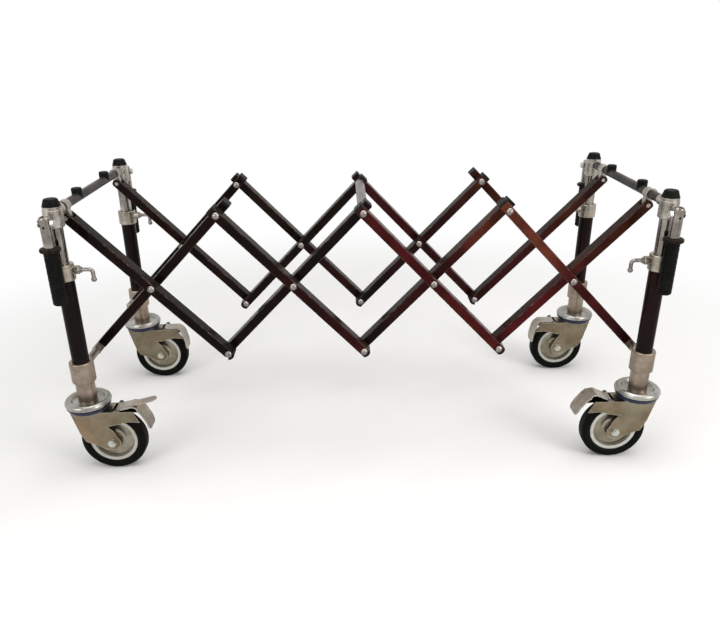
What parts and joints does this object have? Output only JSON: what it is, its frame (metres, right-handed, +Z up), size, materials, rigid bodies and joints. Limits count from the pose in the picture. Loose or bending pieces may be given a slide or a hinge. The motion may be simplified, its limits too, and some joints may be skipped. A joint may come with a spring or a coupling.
{
  "type": "coffin church truck",
  "caption": "Folding scissor trolley that carries a coffin on padded telescopic legs with braked swivel casters.",
  "frame": {"origin": "centre of the truck's footprint, on the floor that the wheels stand on", "axes": "+X along the truck from its left end to its right end, +Y across it from the near lattice to the far one, +Z up"},
  "size_m": [1.3137, 0.558, 0.617],
  "materials": {
    "burgundy_paint": "gloss",
    "rail_paint": "gloss",
    "cast_aluminium": "satin",
    "polished_steel": "polished",
    "bright_steel": "satin",
    "zinc_plate": "satin",
    "seal_plastic": "matte",
    "pad_rubber": "matte",
    "grip_rubber": "matte",
    "wheel_rim": "gloss",
    "tyre": "matte"
  },
  "bodies": {
    "lower_left": {"leg_tubes_left": "burgundy_paint", "leg_sockets_left": "cast_aluminium", "lock_collars_left": "cast_aluminium", "caster_raceways_left": "zinc_plate", "dust_seals_left": "seal_plastic"},
    "upper_left": {"inner_tubes_left": "polished_steel", "leg_heads_left": "cast_aluminium", "end_rail_left": "rail_paint", "rubber_pads_left": "pad_rubber"},
    "lower_right": {"leg_tubes_right": "burgundy_paint", "leg_sockets_right": "cast_aluminium", "lock_collars_right": "cast_aluminium", "caster_raceways_right": "zinc_plate", "dust_seals_right": "seal_plastic"},
    "upper_right": {"inner_tubes_right": "polished_steel", "leg_heads_right": "cast_aluminium", "end_rail_right": "rail_paint", "rubber_pads_right": "pad_rubber"},
    "rising_1": {"rising_bars_1": "burgundy_paint", "rising_fittings_1": "bright_steel"},
    "falling_1": {"falling_bars_1": "burgundy_paint"},
    "rising_2": {"rising_bars_2": "burgundy_paint", "rising_fittings_2": "bright_steel", "cross_rail": "rail_paint"},
    "falling_2": {"falling_bars_2": "burgundy_paint"},
    "rising_3": {"rising_bars_3": "burgundy_paint", "rising_fittings_3": "bright_steel"},
    "falling_3": {"falling_bars_3": "burgundy_paint"},
    "rising_4": {"rising_bars_4": "burgundy_paint", "rising_fittings_4": "bright_steel"},
    "falling_4": {"falling_bars_4": "burgundy_paint", "falling_fittings_4": "bright_steel"},
    "caster_near_left": {"caster_fork_near_left": "zinc_plate"},
    "wheel_near_left": {"wheel_rim_near_left": "wheel_rim", "wheel_tyre_near_left": "tyre"},
    "pedal_near_left": {"brake_pedal_near_left": "zinc_plate"},
    "lever_near_left": {"lock_lever_near_left": "bright_steel"},
    "handle_near_left": {"handle_tube_near_left": "polished_steel", "handle_grip_near_left": "grip_rubber"},
    "caster_near_right": {"caster_fork_near_right": "zinc_plate"},
    "wheel_near_right": {"wheel_rim_near_right": "wheel_rim", "wheel_tyre_near_right": "tyre"},
    "pedal_near_right": {"brake_pedal_near_right": "zinc_plate"},
    "lever_near_right": {"lock_lever_near_right": "bright_steel"},
    "handle_near_right": {"handle_tube_near_right": "polished_steel", "handle_grip_near_right": "grip_rubber"},
    "caster_far_left": {"caster_fork_far_left": "zinc_plate"},
    "wheel_far_left": {"wheel_rim_far_left": "wheel_rim", "wheel_tyre_far_left": "tyre"},
    "pedal_far_left": {"brake_pedal_far_left": "zinc_plate"},
    "lever_far_left": {"lock_lever_far_left": "bright_steel"},
    "handle_far_left": {"handle_tube_far_left": "polished_steel", "handle_grip_far_left": "grip_rubber"},
    "caster_far_right": {"caster_fork_far_right": "zinc_plate"},
    "wheel_far_right": {"wheel_rim_far_right": "wheel_rim", "wheel_tyre_far_right": "tyre"},
    "pedal_far_right": {"brake_pedal_far_right": "zinc_plate"},
    "lever_far_right": {"lock_lever_far_right": "bright_steel"},
    "handle_far_right": {"handle_tube_far_right": "polished_steel", "handle_grip_far_right": "grip_rubber"}
  },
  "joints": [
    {"name": "fold", "type": "hinge", "parent": "lower_left", "child": "rising_1", "pos_m": [-0.60049, 0, 0.255], "axis": [0, -1, 0], "range_deg": [-5, 34]},
    {"name": "crossing_1", "type": "hinge", "parent": "rising_1", "child": "falling_1", "pos_m": [-0.45036, 0, 0.411], "axis": [0, -1, 0], "range_deg": [-68, 10]},
    {"name": "top_left_end", "type": "hinge", "parent": "falling_1", "child": "upper_left", "pos_m": [-0.60049, 0, 0.567], "axis": [0, -1, 0], "range_deg": [-5, 34]},
    {"name": "top_node_1", "type": "hinge", "parent": "rising_1", "child": "falling_2", "pos_m": [-0.30024, 0, 0.567], "axis": [0, -1, 0], "range_deg": [-68, 10]},
    {"name": "crossing_2", "type": "hinge", "parent": "falling_2", "child": "rising_2", "pos_m": [-0.15012, 0, 0.411], "axis": [0, -1, 0], "range_deg": [-10, 68]},
    {"name": "bottom_node_2", "type": "hinge", "parent": "falling_2", "child": "rising_3", "pos_m": [0, 0, 0.255], "axis": [0, -1, 0], "range_deg": [-10, 68]},
    {"name": "crossing_3", "type": "hinge", "parent": "rising_3", "child": "falling_3", "pos_m": [0.15012, 0, 0.411], "axis": [0, -1, 0], "range_deg": [-68, 10]},
    {"name": "top_node_3", "type": "hinge", "parent": "rising_3", "child": "falling_4", "pos_m": [0.30024, 0, 0.567], "axis": [0, -1, 0], "range_deg": [-68, 10]},
    {"name": "crossing_4", "type": "hinge", "parent": "falling_4", "child": "rising_4", "pos_m": [0.45036, 0, 0.411], "axis": [0, -1, 0], "range_deg": [-10, 68]},
    {"name": "bottom_right_end", "type": "hinge", "parent": "falling_4", "child": "lower_right", "pos_m": [0.60049, 0, 0.255], "axis": [0, -1, 0], "range_deg": [-5, 34]},
    {"name": "top_right_end", "type": "hinge", "parent": "rising_4", "child": "upper_right", "pos_m": [0.60049, 0, 0.567], "axis": [0, -1, 0], "range_deg": [-34, 5]},
    {"name": "swivel_near_left", "type": "hinge", "parent": "lower_left", "child": "caster_near_left", "pos_m": [-0.60799, -0.218, 0.156], "axis": [0, 0, 1], "continuous": true},
    {"name": "wheel_spin_near_left", "type": "hinge", "parent": "caster_near_left", "child": "wheel_near_left", "pos_m": [-0.56299, -0.218, 0.072], "axis": [0, 1, 0], "continuous": true},
    {"name": "pedal_hinge_near_left", "type": "hinge", "parent": "caster_near_left", "child": "pedal_near_left", "pos_m": [-0.54399, -0.218, 0.149], "axis": [0, -1, 0], "range_deg": [-14, 21]},
    {"name": "lever_turn_near_left", "type": "hinge", "parent": "lower_left", "child": "lever_near_left", "pos_m": [-0.56799, -0.218, 0.471], "axis": [1, 0, 0], "range_deg": [-100, 100]},
    {"name": "handle_swing_near_left", "type": "hinge", "parent": "upper_left", "child": "handle_near_left", "pos_m": [-0.60799, -0.259, 0.578], "axis": [-1, 0, 0], "range_deg": [0, 90]},
    {"name": "swivel_near_right", "type": "hinge", "parent": "lower_right", "child": "caster_near_right", "pos_m": [0.60799, -0.218, 0.156], "axis": [0, 0, 1], "continuous": true},
    {"name": "wheel_spin_near_right", "type": "hinge", "parent": "caster_near_right", "child": "wheel_near_right", "pos_m": [0.56299, -0.218, 0.072], "axis": [0, 1, 0], "continuous": true},
    {"name": "pedal_hinge_near_right", "type": "hinge", "parent": "caster_near_right", "child": "pedal_near_right", "pos_m": [0.54399, -0.218, 0.149], "axis": [0, 1, 0], "range_deg": [-24, 11]},
    {"name": "lever_turn_near_right", "type": "hinge", "parent": "lower_right", "child": "lever_near_right", "pos_m": [0.56799, -0.218, 0.471], "axis": [1, 0, 0], "range_deg": [-100, 100]},
    {"name": "handle_swing_near_right", "type": "hinge", "parent": "upper_right", "child": "handle_near_right", "pos_m": [0.60799, -0.259, 0.578], "axis": [-1, 0, 0], "range_deg": [0, 90]},
    {"name": "swivel_far_left", "type": "hinge", "parent": "lower_left", "child": "caster_far_left", "pos_m": [-0.60799, 0.218, 0.156], "axis": [0, 0, 1], "continuous": true},
    {"name": "wheel_spin_far_left", "type": "hinge", "parent": "caster_far_left", "child": "wheel_far_left", "pos_m": [-0.56299, 0.218, 0.072], "axis": [0, 1, 0], "continuous": true},
    {"name": "pedal_hinge_far_left", "type": "hinge", "parent": "caster_far_left", "child": "pedal_far_left", "pos_m": [-0.54399, 0.218, 0.149], "axis": [0, -1, 0], "range_deg": [0, 35]},
    {"name": "lever_turn_far_left", "type": "hinge", "parent": "lower_left", "child": "lever_far_left", "pos_m": [-0.56799, 0.218, 0.471], "axis": [1, 0, 0], "range_deg": [-100, 100]},
    {"name": "handle_swing_far_left", "type": "hinge", "parent": "upper_left", "child": "handle_far_left", "pos_m": [-0.60799, 0.259, 0.578], "axis": [1, 0, 0], "range_deg": [0, 90]},
    {"name": "swivel_far_right", "type": "hinge", "parent": "lower_right", "child": "caster_far_right", "pos_m": [0.60799, 0.218, 0.156], "axis": [0, 0, 1], "continuous": true},
    {"name": "wheel_spin_far_right", "type": "hinge", "parent": "caster_far_right", "child": "wheel_far_right", "pos_m": [0.56299, 0.218, 0.072], "axis": [0, 1, 0], "continuous": true},
    {"name": "pedal_hinge_far_right", "type": "hinge", "parent": "caster_far_right", "child": "pedal_far_right", "pos_m": [0.54399, 0.218, 0.149], "axis": [0, 1, 0], "range_deg": [0, 35]},
    {"name": "lever_turn_far_right", "type": "hinge", "parent": "lower_right", "child": "lever_far_right", "pos_m": [0.56799, 0.218, 0.471], "axis": [1, 0, 0], "range_deg": [-100, 100]},
    {"name": "handle_swing_far_right", "type": "hinge", "parent": "upper_right", "child": "handle_far_right", "pos_m": [0.60799, 0.259, 0.578], "axis": [1, 0, 0], "range_deg": [0, 90]}
  ],
  "couplings": [
    {"joint": "crossing_1", "follows": "fold", "ratio": -2},
    {"joint": "top_left_end", "follows": "fold", "ratio": 1},
    {"joint": "top_node_1", "follows": "fold", "ratio": -2},
    {"joint": "crossing_2", "follows": "fold", "ratio": 2},
    {"joint": "bottom_node_2", "follows": "fold", "ratio": 2},
    {"joint": "crossing_3", "follows": "fold", "ratio": -2},
    {"joint": "top_node_3", "follows": "fold", "ratio": -2},
    {"joint": "crossing_4", "follows": "fold", "ratio": 2},
    {"joint": "bottom_right_end", "follows": "fold", "ratio": 1},
    {"joint": "top_right_end", "follows": "fold", "ratio": -1}
  ]
}
